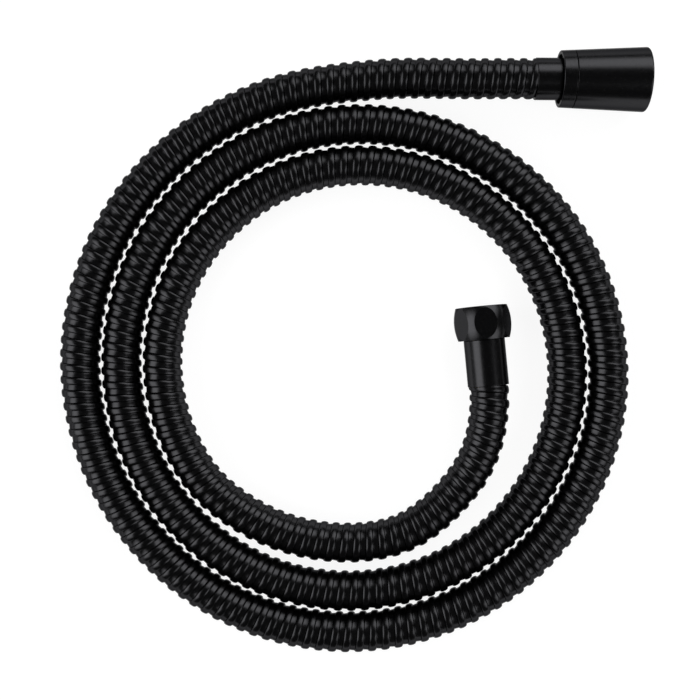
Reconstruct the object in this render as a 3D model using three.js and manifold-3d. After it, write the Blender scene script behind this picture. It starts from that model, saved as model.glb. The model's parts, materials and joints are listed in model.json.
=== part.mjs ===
// A metal shower hose laid down as a flat spiral: a wound metal casing over a rubber hose, with a
// conical swivel nut on the outer end and a hexagonal nut on the inner end.
// Millimetres, +Z up, standing on z = 0. The route is drawn about the centre of the spiral.

import * as THREE from 'three';
import Module from 'manifold-3d';
import { mergeVertices } from 'three/addons/utils/BufferGeometryUtils.js';

const wasm = await Module();
wasm.setup();

// Clearance between pieces that seat on each other or turn in each other
const seatGap = 0.3;

// Hose: the casing outside and the rubber hose inside it
const casingDiameter = 16.4;
const casingBore = 13.6;
const casingSides = 12;
const linerDiameter = 11.2;
const linerBore = 9.0;
const linerSides = 8;

// Spiral: its radius straight behind the centre, and the gap from each turn to the next
const spiralRadius = 116.86;
const turnGap = 0.49;
const stationsPerTurn = 28;
const spiralStations = 66;

// Ends of the route, chosen by hand: where each ferrule starts, its heading in degrees from +X,
// the points between it and the spiral, and the stretch over which the hose climbs to its fitting
const coneStart = [73.6, 117.48];
const coneHeading = -0.45;
const coneStub = 10;
const coneClimb = 66;
const leadOutPoints = [[50.8, 117.62], [38.5, 117.98], [17.8, 118.57], [-1.9, 117.33]];
const nutStart = [54.64, -7.02];
const nutHeading = 95.4;
const nutStub = 4;
const nutClimb = 50;
const innerPoints = [
  [-47.18, -58.75], [-32.29, -66.4], [-16.4, -70.74], [-3.9, -71.84], [8.6, -70.92], [20.8, -67.36],
  [31.6, -60.5], [40.6, -51.75], [48.0, -41.7], [52.76, -30.22], [54.82, -18.32],
];

// Ferrules: thin sleeves that hold the casing and the rubber hose on each end
const ferruleDiameter = 16.8;
const ferruleWall = 1.0;
const ferruleBackLip = 0.9;
const ferruleFrontLip = 2.0;
const ferruleEdge = 0.25;
const coneFerruleLength = 25.4;
const nutFerruleLength = 18.4;

// Support ring inside the end of the casing, and clamp ring around the rubber hose
const supportReach = 3.6;
const supportWall = 0.35;
const supportFlange = 1.2;
const clampSetback = 1.0;

// Barbed insert that carries the water from the rubber hose into the nut
const waterBore = 6.0;
const tailDiameter = 7.0;
const tailLength = 16;
const barbDiameter = 7.7;
const barbPitch = 4.2;
const barbCount = 3;
const collarThickness = 2.6;
const neckDiameter = 11.8;
const flangeDiameter = 17.8;
const flangeThickness = 1.6;
const slipRingThickness = 0.8;

// Sealing washer on the flange, and the bore that the pipe thread of both nuts is cut in
const washerDiameter = 18.0;
const washerBore = 9.0;
const washerThickness = 1.8;
const threadBore = 18.7;
const threadLeadIn = 0.6;

// Conical nut and the collar ring behind it
const coneBackDiameter = 22.65;
const coneMouthDiameter = 25.8;
const coneLength = 35.2;
const coneBackSetback = 9.6;
const coneEdge = 0.8;
const coneCollarLength = 5.3;
const coneCollarLip = 2.3;
const coneCollarLipBore = 19.6;
const coneCollarEdge = 0.35;
const coneSpigotDiameter = 20.4;
const coneShoulderSetback = 1.6;
const coneShoulder = 3.0;
const bushWall = 0.6;
const bushRim = 0.8;

// Hexagonal nut: across the flats, and the turned crown across the corners in the middle and at the ends
const nutAcrossFlats = 21.4;
const nutCornerDiameter = 23.3;
const nutEndDiameter = 21.0;
const nutLength = 13.5;
const nutShoulder = 2.0;

// Facets around the turned pieces, outside and hidden inside
const outerFacets = 40;
const innerFacets = 24;
const crownSteps = 4;
const edgeSteps = 3;

const casingRadius = casingDiameter / 2;
const turnPitch = casingDiameter + turnGap;
const neckRadius = neckDiameter / 2;
const neckSeat = neckRadius + seatGap;
const ferruleRadius = ferruleDiameter / 2;
const ferruleBoreRadius = ferruleRadius - ferruleWall;
const ferruleSeat = ferruleBoreRadius - seatGap;
const flangeRadius = flangeDiameter / 2;
const threadBoreRadius = threadBore / 2;
const supportRadius = (casingBore / 2) * Math.cos(Math.PI / casingSides) - seatGap;
const coneSlope = (coneMouthDiameter - coneBackDiameter) / 2 / coneLength;
const coneMouthAt = coneBackSetback + coneLength;
const coneShoulderAt = coneFerruleLength + coneShoulderSetback;
const coneAxisHeight = coneRadiusAt(coneMouthAt - coneEdge);
const nutAxisHeight = nutAcrossFlats / 2;

const blackMetal = { color: 0x101012, roughness: 0.32, metalness: 0.6 };
const rubber = { color: 0x1c1c1e, roughness: 0.85, metalness: 0 };
const brass = { color: 0xb08d4a, roughness: 0.35, metalness: 1 };
const plastic = { color: 0xd9d7cf, roughness: 0.5, metalness: 0 };

// Outside radius of the conical nut and its collar at a place along their axis
function coneRadiusAt(along) {
  return coneBackDiameter / 2 + coneSlope * (along - coneBackSetback);
}

// A named piece from its geometry and material values
function piece(name, geometry, finish) {
  const mesh = new THREE.Mesh(geometry, new THREE.MeshStandardMaterial(finish));
  mesh.name = name;
  return mesh;
}

// A turned piece along +Z. The closed profile lists [radius, place], up the outside and down the bore.
function turned(profile, facets) {
  const points = [...profile, profile[0]].map(([radius, along]) => new THREE.Vector2(radius, along));
  const geometry = new THREE.LatheGeometry(points, facets);
  geometry.rotateX(Math.PI / 2);
  return geometry;
}

// A plain ring or tube along +Z
function ring(outerRadius, innerRadius, from, to, facets) {
  return turned([[outerRadius, from], [outerRadius, to], [innerRadius, to], [innerRadius, from]], facets);
}

function toSolid(geometry) {
  const bare = geometry.clone();
  bare.deleteAttribute('normal');
  bare.deleteAttribute('uv');
  const merged = mergeVertices(bare, 1e-5);
  const mesh = new wasm.Mesh({
    numProp: 3,
    vertProperties: new Float32Array(merged.attributes.position.array),
    triVerts: new Uint32Array(merged.index.array),
  });
  return new wasm.Manifold(mesh);
}

function toGeometry(solid) {
  const mesh = solid.getMesh();
  const geometry = new THREE.BufferGeometry();
  geometry.setAttribute('position', new THREE.BufferAttribute(mesh.vertProperties, 3));
  geometry.setIndex(new THREE.BufferAttribute(mesh.triVerts, 1));
  geometry.computeVertexNormals();
  return geometry;
}

// A group whose +Z runs out of the hose along a heading, with its +Y up
function fittingGroup(start, heading, height) {
  const angle = THREE.MathUtils.degToRad(heading);
  const out = new THREE.Vector3(Math.cos(angle), Math.sin(angle), 0);
  const up = new THREE.Vector3(0, 0, 1);
  const side = new THREE.Vector3().crossVectors(up, out);
  const group = new THREE.Group();
  group.quaternion.setFromRotationMatrix(new THREE.Matrix4().makeBasis(side, up, out));
  group.position.set(start[0], start[1], height);
  return group;
}

// A point on the ground plan, at a distance out of a ferrule's start along its heading
function alongHeading(start, heading, distance) {
  const angle = THREE.MathUtils.degToRad(heading);
  return [start[0] + distance * Math.cos(angle), start[1] + distance * Math.sin(angle)];
}

// Points of the turns: each lies one pitch inside the last turn
function spiralPoints() {
  const points = [];
  for (let station = 1; station <= spiralStations; station += 1) {
    const turns = station / stationsPerTurn;
    const angle = Math.PI / 2 + turns * 2 * Math.PI;
    const radius = spiralRadius - turnPitch * turns;
    points.push([radius * Math.cos(angle), radius * Math.sin(angle)]);
  }
  return points;
}

// The hose's centre line. Each end reaches a distance into its ferrule, and climbs to the fitting's axis.
function hoseRoute(coneReach, nutReach) {
  const plan = [
    alongHeading(coneStart, coneHeading, coneReach),
    alongHeading(coneStart, coneHeading, -coneStub),
    ...leadOutPoints,
    ...spiralPoints(),
    ...innerPoints,
    alongHeading(nutStart, nutHeading, -nutStub),
    alongHeading(nutStart, nutHeading, nutReach),
  ];
  const travelled = [-coneReach];
  for (let i = 1; i < plan.length; i += 1) {
    travelled.push(travelled[i - 1] + Math.hypot(plan[i][0] - plan[i - 1][0], plan[i][1] - plan[i - 1][1]));
  }
  const nutStartAt = travelled.at(-1) - nutReach;
  const points = plan.map(([x, y], i) => {
    const fromNut = nutStartAt - travelled[i];
    const coneShare = 1 - THREE.MathUtils.smoothstep(travelled[i], coneStub, coneStub + coneClimb);
    const nutShare = 1 - THREE.MathUtils.smoothstep(fromNut, nutStub, nutStub + nutClimb);
    const coneLift = coneShare * (coneAxisHeight - casingRadius);
    const nutLift = nutShare * (nutAxisHeight - casingRadius);
    return new THREE.Vector3(x, y, casingRadius + coneLift + nutLift);
  });
  const route = new THREE.CatmullRomCurve3(points, false, 'centripetal');
  // The sections stand at the points themselves, so that neighbouring turns keep their gap
  route.getUtoTmapping = (u) => u;
  return { route, steps: points.length - 1 };
}

function polygon(radius, sides) {
  const corners = [];
  for (let i = 0; i < sides; i += 1) {
    const angle = (i / sides) * 2 * Math.PI;
    corners.push(new THREE.Vector2(radius * Math.cos(angle), radius * Math.sin(angle)));
  }
  return corners;
}

function hoseTube(outerDiameter, bore, sides, coneReach, nutReach) {
  const section = new THREE.Shape(polygon(outerDiameter / 2, sides));
  section.holes.push(new THREE.Path(polygon(bore / 2, sides)));
  const { route, steps } = hoseRoute(coneReach, nutReach);
  return new THREE.ExtrudeGeometry(section, { steps, bevelEnabled: false, extrudePath: route });
}

// Where the insert's collar and the end of the rubber hose come inside a ferrule
function collarEnd(ferruleLength) {
  return ferruleLength - ferruleFrontLip - seatGap;
}

function linerEnd(ferruleLength) {
  return collarEnd(ferruleLength) - collarThickness - seatGap;
}

function ferrule(length) {
  const backBore = supportRadius + seatGap;
  return turned([
    [ferruleRadius - ferruleEdge, 0],
    [ferruleRadius, ferruleEdge],
    [ferruleRadius, length - ferruleEdge],
    [ferruleRadius - ferruleEdge, length],
    [neckSeat, length],
    [neckSeat, length - ferruleFrontLip],
    [ferruleBoreRadius, length - ferruleFrontLip],
    [ferruleBoreRadius, ferruleBackLip],
    [backBore, ferruleBackLip],
    [backBore, 0],
  ], outerFacets);
}

// Thin tube inside the casing's end, with a flange caught behind the ferrule's back lip
function supportRing() {
  const flangeFrom = ferruleBackLip + seatGap;
  const flangeTo = flangeFrom + supportFlange;
  return turned([
    [supportRadius, -supportReach],
    [supportRadius, flangeFrom],
    [ferruleSeat, flangeFrom],
    [ferruleSeat, flangeTo],
    [supportRadius - supportWall, flangeTo],
    [supportRadius - supportWall, -supportReach],
  ], innerFacets);
}

function clampRing(ferruleLength) {
  const from = ferruleBackLip + seatGap + supportFlange + seatGap;
  const to = linerEnd(ferruleLength) - clampSetback;
  return ring(ferruleSeat, linerDiameter / 2 + seatGap, from, to, innerFacets);
}

// Barbed tail, collar held by the ferrule, neck through the nut, and the flange that the nut pulls on
function insert(ferruleLength, flangeFrom) {
  const tailFrom = linerEnd(ferruleLength) - tailLength;
  const collarTo = collarEnd(ferruleLength);
  const collarFrom = collarTo - collarThickness;
  const profile = [[waterBore / 2 + (tailDiameter - waterBore) / 4, tailFrom]];
  for (let barb = 0; barb < barbCount; barb += 1) {
    const from = tailFrom + barbPitch * barb;
    profile.push([tailDiameter / 2, from + barbPitch * 0.2]);
    profile.push([barbDiameter / 2, from + barbPitch * 0.8]);
    profile.push([barbDiameter / 2, from + barbPitch]);
    profile.push([tailDiameter / 2, from + barbPitch * 1.05]);
  }
  profile.push(
    [tailDiameter / 2, collarFrom],
    [ferruleSeat, collarFrom],
    [ferruleSeat, collarTo],
    [neckRadius, collarTo],
    [neckRadius, flangeFrom],
    [flangeRadius, flangeFrom],
    [flangeRadius, flangeFrom + flangeThickness],
    [waterBore / 2, flangeFrom + flangeThickness],
    [waterBore / 2, tailFrom],
  );
  return turned(profile, innerFacets);
}

// The pieces of one end that stay with the hose, from where the nut's shoulder ends
function endPieces(side, ferruleLength, shoulderTo) {
  const slipFrom = shoulderTo + seatGap;
  const flangeFrom = slipFrom + slipRingThickness + seatGap;
  const washerFrom = flangeFrom + flangeThickness + seatGap;
  const washerTo = washerFrom + washerThickness;
  const slipRing = ring(flangeRadius, neckSeat, slipFrom, slipFrom + slipRingThickness, innerFacets);
  const washer = ring(washerDiameter / 2, washerBore / 2, washerFrom, washerTo, innerFacets);
  return [
    piece(`${side}_ferrule`, ferrule(ferruleLength), blackMetal),
    piece(`${side}_support_ring`, supportRing(), brass),
    piece(`${side}_clamp_ring`, clampRing(ferruleLength), brass),
    piece(`${side}_insert`, insert(ferruleLength, flangeFrom), brass),
    piece(`${side}_slip_ring`, slipRing, plastic),
    piece(`${side}_washer`, washer, rubber),
  ];
}

// The ring behind the conical nut. Its lip traps the bush against the back of the nut.
function coneCollar() {
  const from = coneBackSetback;
  const to = from + coneCollarLength;
  const lipTo = from + coneCollarLip;
  const spigotSeat = coneSpigotDiameter / 2 + seatGap;
  return turned([
    [coneRadiusAt(from) - coneCollarEdge, from],
    [coneRadiusAt(from + coneCollarEdge), from + coneCollarEdge],
    [coneRadiusAt(to), to],
    [spigotSeat, to],
    [spigotSeat, lipTo],
    [coneCollarLipBore / 2, lipTo],
    [coneCollarLipBore / 2, from],
  ], outerFacets);
}

// Plastic bush that the conical nut turns on, with a rim behind the nut's spigot
function coneBush() {
  const boreRadius = ferruleRadius + seatGap;
  const rimFrom = coneBackSetback + coneCollarLip + seatGap;
  const rimTo = rimFrom + bushRim;
  return turned([
    [coneSpigotDiameter / 2, rimFrom],
    [coneSpigotDiameter / 2, rimTo],
    [boreRadius + bushWall, rimTo],
    [boreRadius + bushWall, coneFerruleLength],
    [boreRadius, coneFerruleLength],
    [boreRadius, rimFrom],
  ], innerFacets);
}

function coneNut() {
  const spigotFrom = coneBackSetback + coneCollarLip + seatGap + bushRim + seatGap;
  const bodyFrom = coneBackSetback + coneCollarLength + seatGap;
  const bushSeat = ferruleRadius + seatGap + bushWall + seatGap;
  const edge = [];
  for (let i = 0; i <= edgeSteps; i += 1) {
    const angle = (i / edgeSteps) * (Math.PI / 2);
    const radius = coneRadiusAt(coneMouthAt - coneEdge) - coneEdge * (1 - Math.cos(angle));
    edge.push([radius, coneMouthAt - coneEdge + coneEdge * Math.sin(angle)]);
  }
  return turned([
    [coneSpigotDiameter / 2, spigotFrom],
    [coneSpigotDiameter / 2, bodyFrom],
    [coneRadiusAt(bodyFrom), bodyFrom],
    ...edge,
    [threadBoreRadius + threadLeadIn, coneMouthAt],
    [threadBoreRadius, coneMouthAt - threadLeadIn],
    [threadBoreRadius, coneShoulderAt + coneShoulder],
    [neckSeat, coneShoulderAt + coneShoulder],
    [neckSeat, coneShoulderAt],
    [bushSeat, coneShoulderAt],
    [bushSeat, spigotFrom],
  ], outerFacets);
}

// Hexagonal bar, its corners turned to a crown that falls off from the middle to both ends, and the bore
function hexNut() {
  const from = nutFerruleLength + seatGap;
  const to = from + nutLength;
  const drop = (nutCornerDiameter - nutEndDiameter) / 2;
  const crown = [];
  for (let i = -crownSteps; i <= crownSteps; i += 1) {
    const share = i / crownSteps;
    crown.push([nutCornerDiameter / 2 - drop * share ** 2, (from + to) / 2 + share * (nutLength / 2)]);
  }
  const envelope = turned([[0, from], ...crown, [0, to]], outerFacets);

  const cornerRadius = nutAcrossFlats / Math.sqrt(3);
  const bar = new THREE.ExtrudeGeometry(new THREE.Shape(polygon(cornerRadius, 6)), {
    depth: nutLength,
    bevelEnabled: false,
  });
  bar.translate(0, 0, from);

  // The cutters run past both faces
  const past = 1;
  const neckHole = turned([[0, from - past], [neckSeat, from - past], [neckSeat, to], [0, to]], outerFacets);
  const shoulderTo = from + nutShoulder;
  const socket = turned([
    [0, shoulderTo],
    [threadBoreRadius, shoulderTo],
    [threadBoreRadius, to - threadLeadIn],
    [threadBoreRadius + threadLeadIn + past, to + past],
    [0, to + past],
  ], outerFacets);
  return toGeometry(toSolid(bar).intersect(toSolid(envelope)).subtract(toSolid(neckHole)).subtract(toSolid(socket)));
}

const coneLinerReach = linerEnd(coneFerruleLength);
const nutLinerReach = linerEnd(nutFerruleLength);
const nutShoulderTo = nutFerruleLength + seatGap + nutShoulder;
const coneShoulderTo = coneShoulderAt + coneShoulder;

const coneEnd = fittingGroup(coneStart, coneHeading, coneAxisHeight);
coneEnd.add(
  ...endPieces('cone', coneFerruleLength, coneShoulderTo),
  piece('cone_collar', coneCollar(), blackMetal),
  piece('cone_bush', coneBush(), plastic),
  piece('cone_nut', coneNut(), blackMetal),
);

const nutEnd = fittingGroup(nutStart, nutHeading, nutAxisHeight);
nutEnd.add(
  ...endPieces('nut', nutFerruleLength, nutShoulderTo),
  piece('hex_nut', hexNut(), blackMetal),
);

const casing = hoseTube(casingDiameter, casingBore, casingSides, -seatGap, -seatGap);
const liner = hoseTube(linerDiameter, linerBore, linerSides, coneLinerReach, nutLinerReach);

const showerHose = new THREE.Group();
showerHose.add(
  piece('metal_casing', casing, blackMetal),
  piece('inner_hose', liner, rubber),
  coneEnd,
  nutEnd,
);

// The origin is under the middle of the whole coil
showerHose.updateMatrixWorld(true);
const box = new THREE.Box3().setFromObject(showerHose, true);
showerHose.position.set(-(box.min.x + box.max.x) / 2, -(box.min.y + box.max.y) / 2, -box.min.z);

export default showerHose;
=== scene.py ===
import json
import math

import bmesh
import bpy
import numpy as np
from mathutils import Matrix, Vector


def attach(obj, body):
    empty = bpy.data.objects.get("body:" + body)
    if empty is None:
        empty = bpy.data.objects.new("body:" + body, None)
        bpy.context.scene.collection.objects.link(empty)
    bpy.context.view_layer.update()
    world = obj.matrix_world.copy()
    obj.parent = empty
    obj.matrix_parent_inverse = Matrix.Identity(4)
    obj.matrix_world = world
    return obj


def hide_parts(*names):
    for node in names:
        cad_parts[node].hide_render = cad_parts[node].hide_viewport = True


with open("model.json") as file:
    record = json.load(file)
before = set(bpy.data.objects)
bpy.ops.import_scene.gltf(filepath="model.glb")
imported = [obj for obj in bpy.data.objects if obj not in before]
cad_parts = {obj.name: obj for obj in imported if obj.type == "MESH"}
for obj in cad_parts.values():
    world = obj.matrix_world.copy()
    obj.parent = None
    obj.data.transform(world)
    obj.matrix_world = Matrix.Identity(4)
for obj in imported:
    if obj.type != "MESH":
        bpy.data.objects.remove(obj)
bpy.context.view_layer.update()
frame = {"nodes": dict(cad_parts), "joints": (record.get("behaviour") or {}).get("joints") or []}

# The photograph: its frame in pixels, the size of a pixel at the hose's own height, how far above the
# hose the camera stands, and where it stands in the plan from the centre of the spiral
FRAME_WIDTH_PX = 700
METRES_PER_PX = 0.000411
CAMERA_HEIGHT_PX = 1050
CAMERA_FROM_SPIRAL = (-0.0019, 0.00728)
CAMERA_SENSOR_MM = 36
CAMERA_CLIP_START = 0.01

# The hose
HOSE_DIAMETER = 0.0164
HOSE_BORE = 0.0136
HOSE_END_GAP = 0.0003

# Route on the ground plan about the centre of the spiral, as in the part's own source: the spiral's
# stations, then the points of each end, its straight stub and the stretch over which it climbs
TURN_GAP = 0.00049
SPIRAL_RADIUS = 0.11686
STATIONS_PER_TURN = 28
SPIRAL_STATIONS = 66
CONE_START = (0.0736, 0.11748)
CONE_HEADING = math.radians(-0.45)
CONE_STUB = 0.010
CONE_CLIMB = 0.066
LEAD_OUT_POINTS = [(0.0508, 0.11762), (0.0385, 0.11798), (0.0178, 0.11857), (-0.0019, 0.11733)]
NUT_START = (0.05464, -0.00702)
NUT_HEADING = math.radians(95.4)
NUT_STUB = 0.004
NUT_CLIMB = 0.050
INNER_POINTS = [
    (-0.04718, -0.05875), (-0.03229, -0.0664), (-0.0164, -0.07074), (-0.0039, -0.07184),
    (0.0086, -0.07092), (0.0208, -0.06736), (0.0316, -0.0605), (0.0406, -0.05175),
    (0.048, -0.0417), (0.05276, -0.03022), (0.05482, -0.01832),
]
ROUTE_STEP = 0.00025

# The wound strip: its pitch, where its first crest starts, its hand, the turns that it has before the
# route's start and beyond its length, the turns near each end that the square cut looks at, and the
# section of a turn as (share of the pitch, depth below the crest). The two cut sizes are how near a
# point counts as on the cut and how near it is moved onto it.
WINDING_PITCH = 0.00517
WINDING_START = 0.0006
WINDING_HAND = -1
WINDING_FACETS = 24
WINDING_TURNS_BEFORE = 2
WINDING_SPARE_TURNS = 3
WINDING_CUT_TURNS = 6
WINDING_SHARP_DEGREES = 48
CUT_ON_PLANE = 1e-6
CUT_SNAP = 1e-7
WINDING_SECTION = [
    (0.000, 0.00090), (0.012, 0.00050), (0.050, 0.00026), (0.130, 0.00010), (0.220, 0.00002),
    (0.380, 0.00002), (0.470, 0.00010), (0.550, 0.00026), (0.588, 0.00050), (0.600, 0.00088),
    (0.650, 0.00095), (0.970, 0.00074),
]

# The sleeves: how far their ends reach into the clearance beside them, and their rounded edges
SLEEVE_REACH = 0.00028
SLEEVE_EDGE = 0.00025

# The turned fittings: facets around them, how near its ends a side's shading is held, and the length
# from which a side is held
TURNED_FACETS = 128
TURNED_SHARP_DEGREES = 30
HOLD_MARGIN = 0.00012
HOLD_FROM = 0.0006

# G1/2 pipe thread in both nuts, shallower in the hexagonal one. The widths are shares of the pitch to
# each side of the ridge's middle. The ridge fades over a share of a turn at both ends.
THREAD_MAJOR_RADIUS = 0.01048
HEX_THREAD_MAJOR_RADIUS = 0.01010
THREAD_MINOR_RADIUS = 0.00932
THREAD_PITCH = 0.001814
THREAD_FACETS = 64
THREAD_SHARP_DEGREES = 25
THREAD_FOOT_SHARE = 0.48
THREAD_CREST_SHARE = 0.08
THREAD_FADE_TURNS = 1 / 3
THREAD_LEAST_SHARE = 0.02
THREAD_SUNK = 0.00003
THREAD_FROM_SEAT = 0.0009
THREAD_FROM_MOUTH = 0.0012

# What both nuts have inside: the neck that turns on the insert, the washer's room, and the clearance
# beside the slip ring
NECK_RADIUS = 0.0062
WASHER_ROOM_RADIUS = 0.00935
SLIP_RING_GAP = 0.0003
MOUTH_CHAMFER = 0.0004

# The conical nut and the collar behind it
CONE_TAPER = 0.04474
CONE_EDGE = 0.0008
CONE_SEAM = 0.0003
CONE_SEAM_EDGE = 0.00012
CONE_SPIGOT_RADIUS = 0.0102
CONE_BUSH_BORE_RADIUS = 0.0096
CONE_SHOULDER = 0.003
CONE_WASHER_SEAT = 0.0004
COLLAR_LIP_RADIUS = 0.0098
COLLAR_LIP = 0.0023
COLLAR_LIP_EDGE = 0.0002
COLLAR_SEAT_RADIUS = 0.0105
COLLAR_EDGE = 0.0004

# The hexagonal nut: its crown falls from the corner radius at half its length to the end radius
HEX_CORNER_RADIUS = 0.01165
HEX_END_RADIUS = 0.0105
HEX_CROWN_STEPS = 12
HEX_FACETS = 192
HEX_WASHER_SEAT = 0.0003
HEX_MOUTH_LIP = 0.0001
HEX_EDGE = 0.00008
HEX_EDGE_DEGREES = 12

# The sealing washers
WASHER_HOLE_RADIUS = 0.0045
WASHER_EDGE = 0.0003

# Where most of a noise texture's values lie
NOISE_LOW = 0.3
NOISE_HIGH = 0.7

# Black metal: its colour, the tint of its edges, and its roughness
BLACK_COLOUR = (0.034, 0.034, 0.036)
BLACK_EDGE_TINT = (0.42, 0.42, 0.42, 1)
BLACK_ROUGHNESS = 0.24

# The floor: half its side, what lights the object from it, and its colour and glow where it is seen
FLOOR_HALF_SIDE = 9
FLOOR_COLOUR = (0.4, 0.4, 0.4, 1)
FLOOR_SEEN_COLOUR = (0.2, 0.2, 0.2, 1)
FLOOR_GLOW = 0.9

# The world: the level that lights the object, and what is seen of it, a white backdrop up to a little
# above the horizon and a dim ceiling from there on. Both heights are the Z of the view's direction.
WHITE = (1, 1, 1, 1)
WORLD_STRENGTH = 0.15
BACKDROP_STRENGTH = 1.0
BACKDROP_TOP = 0.02
CEILING_STRENGTH = 0.07
CEILING_FROM = 0.10

# Soft lights, placed by the photograph's highlights: name, direction in the plan from +X towards +Y,
# angle off the vertical, width and height as seen from the hose, all in degrees, and brightness. Each
# has a second layer in its middle, smaller and a little nearer.
LIGHT_DISTANCE = 4
LIGHT_CORE_SHARE = 0.7
LIGHT_LAYER_GAP = 0.01
SOFT_BOXES = [
    ("north_east_box", 58, 52, 62, 42, 2.3),
    ("west_box", 188, 55, 60, 46, 2.6),
    ("south_east_box", 328, 51, 38, 38, 2.0),
]


def spline(points, step):
    """Natural cubic spline through the points, sampled about every step along it."""
    points = np.array(points, float)
    knots = np.concatenate([[0], np.cumsum(np.linalg.norm(np.diff(points, axis=0), axis=1))])
    gaps = np.diff(knots)
    count = len(points)
    matrix = np.eye(count)
    right = np.zeros_like(points)
    for i in range(1, count - 1):
        matrix[i, i - 1] = gaps[i - 1]
        matrix[i, i] = 2 * (gaps[i - 1] + gaps[i])
        matrix[i, i + 1] = gaps[i]
        slope_after = (points[i + 1] - points[i]) / gaps[i]
        slope_before = (points[i] - points[i - 1]) / gaps[i - 1]
        right[i] = 6 * (slope_after - slope_before)
    bend = np.linalg.solve(matrix, right)
    at = np.linspace(0, knots[-1], int(knots[-1] / step) + 1)
    cell = np.clip(np.searchsorted(knots, at, side="right") - 1, 0, count - 2)
    gap = gaps[cell][:, None]
    before = (knots[cell + 1] - at)[:, None]
    after = (at - knots[cell])[:, None]
    return (
        bend[cell] * before**3 / (6 * gap)
        + bend[cell + 1] * after**3 / (6 * gap)
        + (points[cell] / gap - bend[cell] * gap / 6) * before
        + (points[cell + 1] / gap - bend[cell + 1] * gap / 6) * after
    )


def along_heading(start, heading, distance):
    """A point on the plan, at a distance from another along a heading."""
    return (start[0] + distance * math.cos(heading), start[1] + distance * math.sin(heading))


def smoothstep(value, low, high):
    """Climbs softly from 0 at the low value to 1 at the high one."""
    share = min(max((value - low) / (high - low), 0), 1)
    return share * share * (3 - 2 * share)


def joint_place(name):
    """A joint's place and its axis, from the frame."""
    joint = next(j for j in frame["joints"] if j["name"] == name)
    return Vector(joint["pos_m"]), Vector(joint["axis"]).normalized()


cone_origin, cone_axis = joint_place("cone_spin")
nut_origin, nut_axis = joint_place("nut_spin")
spiral_centre = Vector((cone_origin.x - CONE_START[0], cone_origin.y - CONE_START[1], 0))


def hose_stations():
    """The stations of the hose's centre line, in the frame's own place."""
    plan = [
        along_heading(CONE_START, CONE_HEADING, -HOSE_END_GAP),
        along_heading(CONE_START, CONE_HEADING, -CONE_STUB),
        *LEAD_OUT_POINTS,
    ]
    for station in range(1, SPIRAL_STATIONS + 1):
        turns = station / STATIONS_PER_TURN
        angle = math.pi / 2 + turns * 2 * math.pi
        radius = SPIRAL_RADIUS - (HOSE_DIAMETER + TURN_GAP) * turns
        plan.append((radius * math.cos(angle), radius * math.sin(angle)))
    plan += [
        *INNER_POINTS,
        along_heading(NUT_START, NUT_HEADING, -NUT_STUB),
        along_heading(NUT_START, NUT_HEADING, -HOSE_END_GAP),
    ]
    travelled = [HOSE_END_GAP]
    for last, this in zip(plan, plan[1:]):
        travelled.append(travelled[-1] + math.dist(last, this))
    nut_start_at = travelled[-1] + HOSE_END_GAP
    rest = HOSE_DIAMETER / 2
    stations = []
    for (x, y), at in zip(plan, travelled):
        cone_share = 1 - smoothstep(at, CONE_STUB, CONE_STUB + CONE_CLIMB)
        nut_share = 1 - smoothstep(nut_start_at - at, NUT_STUB, NUT_STUB + NUT_CLIMB)
        height = rest + cone_share * (cone_origin.z - rest) + nut_share * (nut_origin.z - rest)
        stations.append((x + spiral_centre.x, y + spiral_centre.y, height))
    return stations


class Route:
    """The smooth centre line, with its place and its two cross directions at any distance along it."""

    def __init__(self, stations):
        self.points = spline(stations, ROUTE_STEP)
        steps = np.linalg.norm(np.diff(self.points, axis=0), axis=1)
        self.distance = np.concatenate([[0], np.cumsum(steps)])
        self.length = self.distance[-1]
        self.ahead = np.gradient(self.points, self.distance, axis=0)
        self.ahead /= np.linalg.norm(self.ahead, axis=1)[:, None]

    def at(self, distance):
        """Places, sides and ups at an array of distances, straight on past both ends."""
        inside = np.clip(distance, 0, self.length)
        place = np.stack([np.interp(inside, self.distance, self.points[:, k]) for k in range(3)], axis=1)
        ahead = np.stack([np.interp(inside, self.distance, self.ahead[:, k]) for k in range(3)], axis=1)
        ahead /= np.linalg.norm(ahead, axis=1)[:, None]
        place = place + ahead * (distance - inside)[:, None]
        side = np.cross([0, 0, 1], ahead)
        side /= np.linalg.norm(side, axis=1)[:, None]
        return place, side, np.cross(ahead, side)


route = Route(hose_stations())


def new_object(name, vertices, faces):
    """A mesh object in the scene."""
    mesh = bpy.data.meshes.new(name)
    mesh.from_pydata([tuple(v) for v in vertices], [], [tuple(f) for f in faces])
    mesh.update()
    piece = bpy.data.objects.new(name, mesh)
    bpy.context.scene.collection.objects.link(piece)
    return piece


def smooth(piece, sharp_degrees):
    """Smooth shading, with the edges sharp where the faces turn by more than an angle."""
    piece.data.shade_smooth()
    piece.data.set_sharp_from_angle(angle=math.radians(sharp_degrees))
    return piece


def cut_square(mesh, near, centre, outwards):
    """Cuts the casing square across the route at one end and closes it with a rim down to the bore."""
    parts = set(near)
    for f in near:
        parts.update(f.edges)
        parts.update(f.verts)
    bmesh.ops.bisect_plane(
        mesh, geom=list(parts), dist=CUT_SNAP, plane_co=centre, plane_no=outwards, clear_outer=True
    )
    rim = [
        e for e in mesh.edges
        if e.is_boundary and all(abs((v.co - centre).dot(outwards)) < CUT_ON_PLANE for v in e.verts)
        and (e.verts[0].co - centre).length < HOSE_DIAMETER
    ]
    inner = bmesh.ops.extrude_edge_only(mesh, edges=rim)["geom"]
    for v in inner:
        if isinstance(v, bmesh.types.BMVert):
            v.co = centre + (v.co - centre).normalized() * HOSE_BORE / 2


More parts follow.
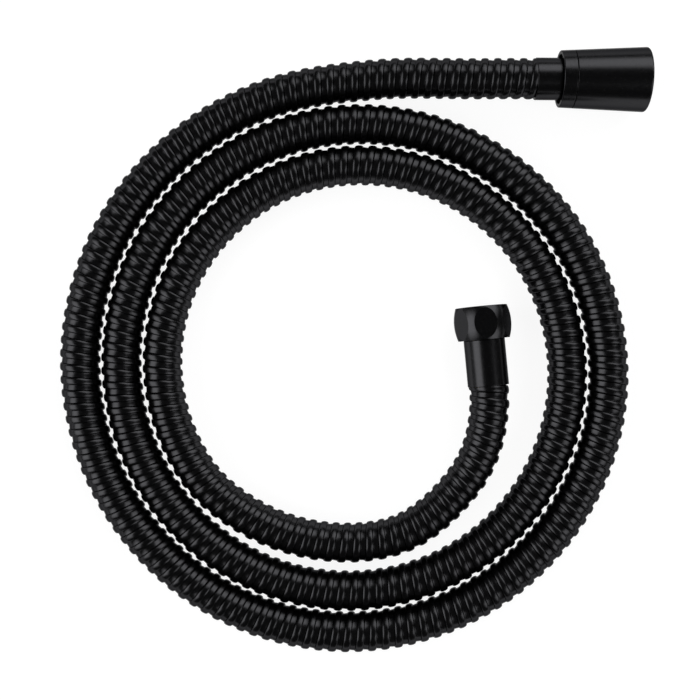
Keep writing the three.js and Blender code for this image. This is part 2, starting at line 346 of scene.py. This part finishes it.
def wound_casing():
    """The strip-wound casing: one helical ribbon along the route, cut square at both ends."""
    shares = np.array([share for share, depth in WINDING_SECTION])
    radii = HOSE_DIAMETER / 2 - np.array([depth for share, depth in WINDING_SECTION])
    ribs = len(WINDING_SECTION)
    turns = math.ceil(route.length / WINDING_PITCH) + WINDING_SPARE_TURNS
    count = turns * WINDING_FACETS
    step = np.repeat(np.arange(count + 1), ribs)
    share = np.tile(shares, count + 1)
    radius = np.tile(radii, count + 1)
    along = WINDING_START + WINDING_PITCH * (step / WINDING_FACETS + share - WINDING_TURNS_BEFORE)
    angle = WINDING_HAND * 2 * math.pi * step / WINDING_FACETS
    place, side, up = route.at(along)
    vertices = place + radius[:, None] * (np.cos(angle)[:, None] * side + np.sin(angle)[:, None] * up)
    faces = []
    for n in range(count):
        here = n * ribs
        after = here + ribs
        for k in range(ribs - 1):
            faces.append((here + k, here + k + 1, after + k + 1, after + k))
        if n + WINDING_FACETS + 1 <= count:
            turn_on = here + WINDING_FACETS * ribs
            faces.append((here + ribs - 1, turn_on, turn_on + ribs, after + ribs - 1))
    casing = new_object("wound_casing", vertices, faces)

    mesh = bmesh.new()
    mesh.from_mesh(casing.data)
    end_faces = WINDING_CUT_TURNS * WINDING_FACETS * ribs
    for station, sign in ((0, -1), (-1, 1)):
        mesh.faces.ensure_lookup_table()
        near = mesh.faces[:end_faces] if sign < 0 else mesh.faces[-end_faces:]
        cut_square(mesh, near, Vector(route.points[station]), Vector(route.ahead[station]) * sign)
    bmesh.ops.recalc_face_normals(mesh, faces=mesh.faces)
    mesh.to_mesh(casing.data)
    mesh.free()
    return smooth(casing, WINDING_SHARP_DEGREES)


def fitting_matrix(origin, axis):
    """A fitting's own space: +Z out of the hose, +Y up."""
    up = Vector((0, 0, 1))
    side = up.cross(axis)
    matrix = Matrix((side, up, axis)).transposed().to_4x4()
    matrix.translation = origin
    return matrix


cone_space = fitting_matrix(cone_origin, cone_axis)
nut_space = fitting_matrix(nut_origin, nut_axis)


def span(node, space):
    """Where a CAD node starts and ends along its fitting, and its largest radius."""
    to_local = space.inverted()
    points = [to_local @ v.co for v in frame["nodes"][node].data.vertices]
    return min(p.z for p in points), max(p.z for p in points), max(math.hypot(p.x, p.y) for p in points)


def arc(centre, radius, start_degrees, end_degrees, steps=6):
    """Points of an arc in (radius, place along the axis), with 0 degrees pointing outwards."""
    points = []
    for i in range(steps + 1):
        angle = math.radians(start_degrees + (end_degrees - start_degrees) * i / steps)
        points.append((centre[0] + radius * math.cos(angle), centre[1] + radius * math.sin(angle)))
    return points


def held(profile):
    """The profile with a point near both ends of each long side, which keeps its shading straight."""
    points = []
    for here, after in zip(profile, profile[1:] + profile[:1]):
        points.append(here)
        length = math.dist(here, after)
        if length > HOLD_FROM:
            for share in (HOLD_MARGIN / length, 1 - HOLD_MARGIN / length):
                points.append(tuple(h + (a - h) * share for h, a in zip(here, after)))
    return points


def turned(name, space, profile, facets=TURNED_FACETS):
    """A turned piece: the closed profile goes up the outside and down the bore."""
    profile = held(profile)
    vertices = []
    faces = []
    count = len(profile)
    for i in range(facets):
        angle = 2 * math.pi * i / facets
        for radius, along in profile:
            vertices.append(space @ Vector((radius * math.cos(angle), radius * math.sin(angle), along)))
    for i in range(facets):
        here = i * count
        after = ((i + 1) % facets) * count
        for k in range(count):
            following = (k + 1) % count
            faces.append((here + k, after + k, after + following, here + following))
    return smooth(new_object(name, vertices, faces), TURNED_SHARP_DEGREES)


def turned_thread(name, space, start, end, major):
    """A helical ridge on the wall of a nut's bore, run out to nothing at both ends."""
    turns = (end - start) / THREAD_PITCH
    count = int(turns * THREAD_FACETS)
    foot = THREAD_PITCH * THREAD_FOOT_SHARE
    crest = THREAD_PITCH * THREAD_CREST_SHARE
    fade = THREAD_FACETS * THREAD_FADE_TURNS
    root = major + THREAD_SUNK
    vertices = []
    faces = []
    for i in range(count + 1):
        angle = 2 * math.pi * i / THREAD_FACETS
        middle = start + THREAD_PITCH * i / THREAD_FACETS
        height_share = max(min(1, i / fade, (count - i) / fade), THREAD_LEAST_SHARE)
        top = major - (major - THREAD_MINOR_RADIUS) * height_share
        for radius, along in ((root, -foot), (top, -crest), (top, crest), (root, foot)):
            place = (radius * math.cos(angle), radius * math.sin(angle), middle + along)
            vertices.append(space @ Vector(place))
    for i in range(count):
        for k in range(4):
            following = (k + 1) % 4
            faces.append((4 * i + k, 4 * i + following, 4 * i + 4 + following, 4 * i + 4 + k))
    faces.append((0, 1, 2, 3))
    last = 4 * count
    faces.append((last + 3, last + 2, last + 1, last))
    piece = new_object(name, vertices, faces)
    mesh = bmesh.new()
    mesh.from_mesh(piece.data)
    bmesh.ops.recalc_face_normals(mesh, faces=mesh.faces)
    mesh.to_mesh(piece.data)
    mesh.free()
    return smooth(piece, THREAD_SHARP_DEGREES)


def ferrule_sleeve(name, space, node):
    """The smooth sleeve that the casing ends in, its two edges broken by a small radius."""
    start, end, radius = span(node, space)
    start -= SLEEVE_REACH
    end += SLEEVE_REACH
    edge = SLEEVE_EDGE
    bore = HOSE_BORE / 2
    profile = [
        *arc((radius - edge, start + edge), edge, -90, 0),
        *arc((radius - edge, end - edge), edge, 0, 90),
        (bore, end),
        (bore, start),
    ]
    return turned(name, space, profile)


def cone_radius(along):
    """Radius of the conical nut's flank, from the CAD nut's own ends."""
    _, end, radius = span("cone_nut", cone_space)
    return radius - CONE_TAPER * (end - CONE_EDGE - along)


def cone_collar_ring():
    """The ring behind the conical nut: an outer lip, and the seat that its spigot goes into."""
    start, end, _ = span("cone_collar", cone_space)
    edge = COLLAR_EDGE
    seam_edge = CONE_SEAM_EDGE
    profile = [
        (COLLAR_LIP_RADIUS, start + COLLAR_LIP_EDGE),
        (COLLAR_LIP_RADIUS + COLLAR_LIP_EDGE, start),
        *arc((cone_radius(start + edge) - edge, start + edge), edge, -90, 0),
        *arc((cone_radius(end) - seam_edge, end - seam_edge), seam_edge, 0, 90, 3),
        (COLLAR_SEAT_RADIUS, end),
        (COLLAR_SEAT_RADIUS, start + COLLAR_LIP),
        (COLLAR_LIP_RADIUS, start + COLLAR_LIP),
    ]
    return turned("collar_ring", cone_space, profile)


def cone_nut_body():
    """The conical nut: its spigot, flank and rounded mouth outside, its shoulder and thread inside."""
    start, end, _ = span("cone_nut", cone_space)
    _, collar_end, _ = span("cone_collar", cone_space)
    _, washer_end, _ = span("cone_washer", cone_space)
    slip_start, _, _ = span("cone_slip_ring", cone_space)
    body = collar_end + CONE_SEAM
    shoulder_end = slip_start - SLIP_RING_GAP
    shoulder_start = shoulder_end - CONE_SHOULDER
    thread_start = washer_end + CONE_WASHER_SEAT
    edge = CONE_EDGE
    seam_edge = CONE_SEAM_EDGE
    profile = [
        (CONE_SPIGOT_RADIUS, start),
        (CONE_SPIGOT_RADIUS, body),
        *arc((cone_radius(body) - seam_edge, body + seam_edge), seam_edge, -90, 0, 3),
        *arc((cone_radius(end - edge) - edge, end - edge), edge, 0, 90, 8),
        (THREAD_MAJOR_RADIUS + MOUTH_CHAMFER, end),
        (THREAD_MAJOR_RADIUS, end - MOUTH_CHAMFER),
        (THREAD_MAJOR_RADIUS, thread_start),
        (WASHER_ROOM_RADIUS, thread_start),
        (WASHER_ROOM_RADIUS, shoulder_end),
        (NECK_RADIUS, shoulder_end),
        (NECK_RADIUS, shoulder_start),
        (CONE_BUSH_BORE_RADIUS, shoulder_start),
        (CONE_BUSH_BORE_RADIUS, start),
    ]
    nut = turned("conical_nut", cone_space, profile)
    thread = turned_thread(
        "conical_nut_thread",
        cone_space,
        thread_start + THREAD_FROM_SEAT,
        end - THREAD_FROM_MOUTH,
        THREAD_MAJOR_RADIUS,
    )
    return nut, thread


def hexagonal_bar(start, end):
    """A six-sided bar with a flat underneath, a little longer than the nut."""
    corner = nut_origin.z / math.cos(math.pi / 6)
    past = 0.001
    vertices = []
    for along in (start - past, end + past):
        for i in range(6):
            angle = math.pi / 3 * i
            vertices.append(nut_space @ Vector((corner * math.cos(angle), corner * math.sin(angle), along)))
    faces = [tuple(reversed(range(6))), tuple(range(6, 12))]
    for i in range(6):
        following = (i + 1) % 6
        faces.append((i, following, following + 6, i + 6))
    return new_object("hexagonal_bar", vertices, faces)


def cut_flats(nut, bar):
    """Keeps what the turned nut and the bar share, and breaks its edges."""
    cut = nut.modifiers.new("flats", "BOOLEAN")
    cut.operation = "INTERSECT"
    cut.solver = "EXACT"
    cut.object = bar
    soften = nut.modifiers.new("edges", "BEVEL")
    soften.width = HEX_EDGE
    soften.segments = 2
    soften.limit_method = "ANGLE"
    soften.angle_limit = math.radians(HEX_EDGE_DEGREES)
    soften.harden_normals = True
    bpy.context.view_layer.update()
    evaluated = nut.evaluated_get(bpy.context.evaluated_depsgraph_get())
    finished = bpy.data.meshes.new_from_object(evaluated)
    nut.modifiers.clear()
    nut.data = finished
    bpy.data.objects.remove(bar)


def hex_nut_body():
    """The hexagonal nut: a turned crown and bore, cut by the flats of a bar."""
    start, end, _ = span("hex_nut", nut_space)
    _, washer_end, _ = span("nut_washer", nut_space)
    slip_start, _, _ = span("nut_slip_ring", nut_space)
    thread_start = washer_end + HEX_WASHER_SEAT
    shoulder_end = slip_start - SLIP_RING_GAP
    drop = HEX_CORNER_RADIUS - HEX_END_RADIUS
    crown = []
    for i in range(-HEX_CROWN_STEPS, HEX_CROWN_STEPS + 1):
        share = i / HEX_CROWN_STEPS
        along = (start + end) / 2 + share * (end - start) / 2
        crown.append((HEX_CORNER_RADIUS - drop * share**2, along))
    profile = [
        *crown,
        (HEX_THREAD_MAJOR_RADIUS + HEX_MOUTH_LIP, end),
        (HEX_THREAD_MAJOR_RADIUS, end - MOUTH_CHAMFER),
        (HEX_THREAD_MAJOR_RADIUS, thread_start),
        (WASHER_ROOM_RADIUS, thread_start),
        (WASHER_ROOM_RADIUS, shoulder_end),
        (NECK_RADIUS, shoulder_end),
        (NECK_RADIUS, start),
    ]
    nut = turned("hexagonal_nut", nut_space, profile, facets=HEX_FACETS)
    cut_flats(nut, hexagonal_bar(start, end))
    thread = turned_thread(
        "hexagonal_nut_thread",
        nut_space,
        thread_start + THREAD_FROM_SEAT,
        end - THREAD_FROM_MOUTH,
        HEX_THREAD_MAJOR_RADIUS,
    )
    return nut, thread


def washer_disc(name, space, node):
    """A sealing washer with rounded edges."""
    start, end, radius = span(node, space)
    hole = WASHER_HOLE_RADIUS
    edge = WASHER_EDGE
    profile = [
        (hole + edge, start),
        *arc((radius - edge, start + edge), edge, -90, 0, 3),
        *arc((radius - edge, end - edge), edge, 0, 90, 3),
        *arc((hole + edge, end - edge), edge, 90, 180, 3),
        *arc((hole + edge, start + edge), edge, 180, 270, 3),
    ]
    return turned(name, space, profile)


def material(name, colour, roughness, metallic=0.0):
    """A plain material, with its node tree and its shader."""
    made = bpy.data.materials.new(name)
    made.use_nodes = True
    shader = made.node_tree.nodes["Principled BSDF"]
    shader.inputs["Base Color"].default_value = (*colour, 1)
    shader.inputs["Roughness"].default_value = roughness
    shader.inputs["Metallic"].default_value = metallic
    return made, made.node_tree, shader


def noise(tree, scale, detail=3.0):
    """Noise in the object's own space."""
    place = tree.nodes.new("ShaderNodeTexCoord")
    texture = tree.nodes.new("ShaderNodeTexNoise")
    texture.inputs["Scale"].default_value = scale
    texture.inputs["Detail"].default_value = detail
    tree.links.new(place.outputs["Object"], texture.inputs["Vector"])
    return texture


def vary(tree, texture, socket, low, high):
    """Feeds a socket from a texture, between two values."""
    scaled = tree.nodes.new("ShaderNodeMapRange")
    scaled.inputs["From Min"].default_value = NOISE_LOW
    scaled.inputs["From Max"].default_value = NOISE_HIGH
    scaled.inputs["To Min"].default_value = low
    scaled.inputs["To Max"].default_value = high
    tree.links.new(texture.outputs["Fac"], scaled.inputs["Value"])
    tree.links.new(scaled.outputs["Result"], socket)


def bump(tree, shader, texture, strength, distance):
    """A fine relief from a texture."""
    node = tree.nodes.new("ShaderNodeBump")
    node.inputs["Strength"].default_value = strength
    node.inputs["Distance"].default_value = distance
    tree.links.new(texture.outputs["Fac"], node.inputs["Height"])
    tree.links.new(node.outputs["Normal"], shader.inputs["Normal"])


def black_metal(name):
    """Semi-gloss black metal that stays dark at its edges, with a faint unevenness in its gloss."""
    made, tree, shader = material(name, BLACK_COLOUR, BLACK_ROUGHNESS, metallic=1.0)
    shader.inputs["Specular Tint"].default_value = BLACK_EDGE_TINT
    gloss = noise(tree, scale=900)
    vary(tree, gloss, shader.inputs["Roughness"], low=BLACK_ROUGHNESS * 0.85, high=BLACK_ROUGHNESS * 1.15)
    bump(tree, shader, noise(tree, scale=2600, detail=2.0), strength=0.05, distance=0.00002)
    return made


def brass_material():
    """Turned brass, for the rings and inserts inside the fittings."""
    made, tree, shader = material("turned_brass", (0.62, 0.44, 0.19), roughness=0.3, metallic=1.0)
    vary(tree, noise(tree, scale=700), shader.inputs["Roughness"], low=0.24, high=0.38)
    return made


def rubber_material(name):
    """Matt black rubber, for the inner hose and the seals."""
    made, tree, shader = material(name, (0.018, 0.018, 0.019), roughness=0.75)
    vary(tree, noise(tree, scale=500), shader.inputs["Roughness"], low=0.65, high=0.85)
    bump(tree, shader, noise(tree, scale=1800), strength=0.2, distance=0.00005)
    return made


def plastic_material():
    """Uncoloured plastic, for the slip rings and the bush."""
    made, tree, shader = material("natural_plastic", (0.72, 0.7, 0.64), roughness=0.45)
    vary(tree, noise(tree, scale=400), shader.inputs["Roughness"], low=0.38, high=0.52)
    return made


hose_black = black_metal("black_hose_metal")
fitting_black = black_metal("black_fitting_metal")
brass = brass_material()
rubber = rubber_material("black_rubber")
seal = rubber_material("black_seal")
plastic = plastic_material()


def finish_piece(piece, body, slot_name, look, *nodes):
    """Gives a piece its material and the body it moves with, and hides the CAD nodes it stands for. Its
    slot name is not used.
    """
    piece.data.materials.clear()
    piece.data.materials.append(look)
    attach(piece, body)
    if nodes:
        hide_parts(*nodes)
    return piece


def dress_node(node, look):
    """Gives a CAD node its material."""
    mesh = frame["nodes"][node].data
    mesh.materials.clear()
    mesh.materials.append(look)


camera_data = bpy.data.cameras.new("camera")
camera_data.sensor_width = CAMERA_SENSOR_MM
camera_data.lens = CAMERA_SENSOR_MM * CAMERA_HEIGHT_PX / FRAME_WIDTH_PX
camera_data.clip_start = CAMERA_CLIP_START
camera = bpy.data.objects.new("camera", camera_data)
camera.location = (
    spiral_centre.x + CAMERA_FROM_SPIRAL[0],
    spiral_centre.y + CAMERA_FROM_SPIRAL[1],
    HOSE_DIAMETER / 2 + CAMERA_HEIGHT_PX * METRES_PER_PX,
)
bpy.context.scene.collection.objects.link(camera)
bpy.context.scene.camera = camera

casing = finish_piece(wound_casing(), "hose", "black_hose", hose_black, "metal_casing")

cone_sleeve = ferrule_sleeve("cone_sleeve", cone_space, "cone_ferrule")
finish_piece(cone_sleeve, "hose", "black_fitting", fitting_black, "cone_ferrule")
nut_sleeve = ferrule_sleeve("nut_sleeve", nut_space, "nut_ferrule")
finish_piece(nut_sleeve, "hose", "black_fitting", fitting_black, "nut_ferrule")

finish_piece(cone_collar_ring(), "cone", "black_fitting", fitting_black, "cone_collar")
conical_nut, conical_thread = cone_nut_body()
finish_piece(conical_nut, "cone", "black_fitting", fitting_black, "cone_nut")
finish_piece(conical_thread, "cone", "black_fitting", fitting_black)
hexagonal_nut, hexagonal_thread = hex_nut_body()
finish_piece(hexagonal_nut, "nut", "black_fitting", fitting_black, "hex_nut")
finish_piece(hexagonal_thread, "nut", "black_fitting", fitting_black)

for end_name, space in (("cone", cone_space), ("nut", nut_space)):
    washer = washer_disc(f"{end_name}_seal", space, f"{end_name}_washer")
    finish_piece(washer, "hose", "seal", seal, f"{end_name}_washer")
    for part, look in (
        ("support_ring", brass), ("clamp_ring", brass), ("insert", brass), ("slip_ring", plastic),
    ):
        dress_node(f"{end_name}_{part}", look)
dress_node("cone_bush", plastic)
dress_node("inner_hose", rubber)


def white_where_seen(tree, plain_shader, seen_shader):
    """One shader for the view and its reflections, another for what lights the object."""
    path = tree.nodes.new("ShaderNodeLightPath")
    first = tree.nodes.new("ShaderNodeMath")
    first.operation = "MAXIMUM"
    second = tree.nodes.new("ShaderNodeMath")
    second.operation = "MAXIMUM"
    tree.links.new(path.outputs["Is Camera Ray"], first.inputs[0])
    tree.links.new(path.outputs["Is Glossy Ray"], first.inputs[1])
    tree.links.new(first.outputs[0], second.inputs[0])
    tree.links.new(path.outputs["Is Transmission Ray"], second.inputs[1])
    mix = tree.nodes.new("ShaderNodeMixShader")
    tree.links.new(second.outputs[0], mix.inputs[0])
    tree.links.new(plain_shader.outputs[0], mix.inputs[1])
    tree.links.new(seen_shader.outputs[0], mix.inputs[2])
    return mix


def pale_floor():
    """The floor that the part lies on. Where it is seen it glows nearly white and keeps the shadow."""
    half = FLOOR_HALF_SIDE
    corners = [(-half, -half, 0), (half, -half, 0), (half, half, 0), (-half, half, 0)]
    floor = new_object("floor", corners, [(0, 1, 2, 3)])
    made = bpy.data.materials.new("pale_floor")
    made.use_nodes = True
    tree = made.node_tree
    tree.nodes.clear()
    output = tree.nodes.new("ShaderNodeOutputMaterial")
    plain = tree.nodes.new("ShaderNodeBsdfDiffuse")
    plain.inputs["Color"].default_value = FLOOR_COLOUR
    lit = tree.nodes.new("ShaderNodeBsdfDiffuse")
    lit.inputs["Color"].default_value = FLOOR_SEEN_COLOUR
    glow = tree.nodes.new("ShaderNodeEmission")
    glow.inputs["Strength"].default_value = FLOOR_GLOW
    seen = tree.nodes.new("ShaderNodeAddShader")
    tree.links.new(lit.outputs[0], seen.inputs[0])
    tree.links.new(glow.outputs[0], seen.inputs[1])
    mix = white_where_seen(tree, plain, seen)
    tree.links.new(mix.outputs[0], output.inputs["Surface"])
    floor.data.materials.append(made)


def studio_world():
    """A white backdrop up to the horizon for the view and its reflections, a dim ceiling above it."""
    world = bpy.data.worlds.new("studio")
    bpy.context.scene.world = world
    world.use_nodes = True
    tree = world.node_tree
    tree.nodes.clear()
    output = tree.nodes.new("ShaderNodeOutputWorld")
    plain = tree.nodes.new("ShaderNodeBackground")
    plain.inputs["Color"].default_value = WHITE
    plain.inputs["Strength"].default_value = WORLD_STRENGTH
    place = tree.nodes.new("ShaderNodeTexCoord")
    split = tree.nodes.new("ShaderNodeSeparateXYZ")
    tree.links.new(place.outputs["Generated"], split.inputs[0])
    ramp = tree.nodes.new("ShaderNodeMapRange")
    ramp.interpolation_type = "SMOOTHSTEP"
    ramp.inputs["From Min"].default_value = BACKDROP_TOP
    ramp.inputs["From Max"].default_value = CEILING_FROM
    ramp.inputs["To Min"].default_value = BACKDROP_STRENGTH
    ramp.inputs["To Max"].default_value = CEILING_STRENGTH
    tree.links.new(split.outputs["Z"], ramp.inputs["Value"])
    backdrop = tree.nodes.new("ShaderNodeBackground")
    backdrop.inputs["Color"].default_value = WHITE
    tree.links.new(ramp.outputs["Result"], backdrop.inputs["Strength"])
    mix = white_where_seen(tree, plain, backdrop)
    tree.links.new(mix.outputs[0], output.inputs["Surface"])


def soft_box(name, azimuth_degrees, zenith_degrees, wide_degrees, high_degrees, radiance):
    """A soft light at a direction in the plan and an angle off the vertical, brighter in its middle."""
    azimuth = math.radians(azimuth_degrees)
    zenith = math.radians(zenith_degrees)
    direction = Vector((
        math.sin(zenith) * math.cos(azimuth),
        math.sin(zenith) * math.sin(azimuth),
        math.cos(zenith),
    ))
    for layer, share in ((0, 1.0), (1, LIGHT_CORE_SHARE)):
        data = bpy.data.lights.new(f"{name}_{layer}", "AREA")
        data.shape = "RECTANGLE"
        data.size = share * 2 * LIGHT_DISTANCE * math.tan(math.radians(wide_degrees) / 2)
        data.size_y = share * 2 * LIGHT_DISTANCE * math.tan(math.radians(high_degrees) / 2)
        data.energy = radiance / 2 * math.pi * data.size * data.size_y
        box = bpy.data.objects.new(f"{name}_{layer}", data)
        box.location = direction * (LIGHT_DISTANCE - LIGHT_LAYER_GAP * layer)
        box.rotation_euler = direction.to_track_quat("Z", "Y").to_euler()
        bpy.context.scene.collection.objects.link(box)


pale_floor()
studio_world()
for box in SOFT_BOXES:
    soft_box(*box)

bpy.context.scene.view_settings.view_transform = "Standard"
